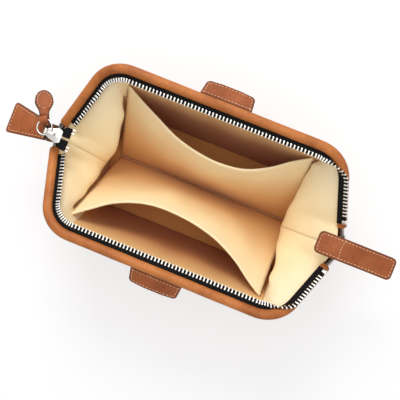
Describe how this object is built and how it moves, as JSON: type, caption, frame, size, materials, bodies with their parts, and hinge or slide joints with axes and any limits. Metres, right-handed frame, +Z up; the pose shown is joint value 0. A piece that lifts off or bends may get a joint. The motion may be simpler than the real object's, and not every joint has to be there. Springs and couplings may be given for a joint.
{
  "type": "cosmetic bag",
  "caption": "Leather cosmetic bag with a hinged wire-frame mouth, metal zip, cloth lining with inner pockets, side tabs and an end strap.",
  "frame": {"origin": "centre of the base's underside", "axes": "+Z up, +X from the slider end to the strap end, +Y to the back half"},
  "size_m": [0.3391, 0.1754, 0.1044],
  "materials": {
    "body_leather": "smooth vegetable tanned leather, fine grain",
    "piping_leather": "rolled smooth leather",
    "tab_leather": "redder stitched leather with dark painted edges",
    "stiffener_board": "plain board",
    "lining_cloth": "smooth cream lining",
    "zip_tape": "black woven tape",
    "zip_metal": "nickel silver teeth",
    "bright_metal": "polished nickel",
    "frame_steel": "spring steel wire"
  },
  "bodies": {
    "bag_body": {"base_panel": "body_leather", "base_board": "stiffener_board", "front_panel": "body_leather", "back_panel": "body_leather", "left_gusset": "body_leather", "right_gusset": "body_leather", "base_lining": "lining_cloth", "front_lining": "lining_cloth", "back_lining": "lining_cloth", "left_gusset_lining": "lining_cloth", "right_gusset_lining": "lining_cloth", "front_pocket": "lining_cloth", "back_pocket": "lining_cloth", "left_hinge_rivet": "frame_steel", "right_hinge_rivet": "frame_steel", "zipper_end_tape": "zip_tape", "zipper_end_teeth": "zip_metal", "zipper_bottom_stop": "zip_metal", "left_end_tab_top": "tab_leather", "left_end_tab_back": "tab_leather", "right_end_strap_top": "tab_leather", "right_end_strap_back": "tab_leather"},
    "front_half": {"front_frame_wire": "frame_steel", "front_frame_cover": "piping_leather", "front_zipper_tape": "zip_tape", "front_zipper_teeth": "zip_metal", "front_top_stop": "zip_metal", "front_side_tab_top": "tab_leather", "front_side_tab_back": "tab_leather"},
    "back_half": {"back_frame_wire": "frame_steel", "back_frame_cover": "piping_leather", "back_zipper_tape": "zip_tape", "back_zipper_teeth": "zip_metal", "back_top_stop": "zip_metal", "back_side_tab_top": "tab_leather", "back_side_tab_back": "tab_leather"},
    "slider": {"slider_body": "bright_metal", "slider_bail": "bright_metal"},
    "ring": {"pull_ring": "bright_metal"},
    "puller": {"puller_top": "tab_leather", "puller_back": "tab_leather"}
  },
  "joints": [
    {"name": "front_half_hinge", "type": "hinge", "parent": "bag_body", "child": "front_half", "pos_m": [0, 0, 0.078], "axis": [-1, 0, 0], "range_deg": [0, 67.2]},
    {"name": "back_half_hinge", "type": "hinge", "parent": "bag_body", "child": "back_half", "pos_m": [0, 0, 0.078], "axis": [1, 0, 0], "range_deg": [0, 67.2]},
    {"name": "slider_run", "type": "slide", "parent": "bag_body", "child": "slider", "axis": [1, 0, 0], "range_m": [0, 0.004]},
    {"name": "ring_swing", "type": "hinge", "parent": "slider", "child": "ring", "pos_m": [-0.1276, 0, 0.0889], "axis": [0.454, 0.891, 0], "range_deg": [0, 65]},
    {"name": "puller_swing", "type": "hinge", "parent": "ring", "child": "puller", "pos_m": [-0.13584, 0.00853, 0.08692], "axis": [0.8938, 0.4359, 0.1055], "range_deg": [0, 40]}
  ]
}
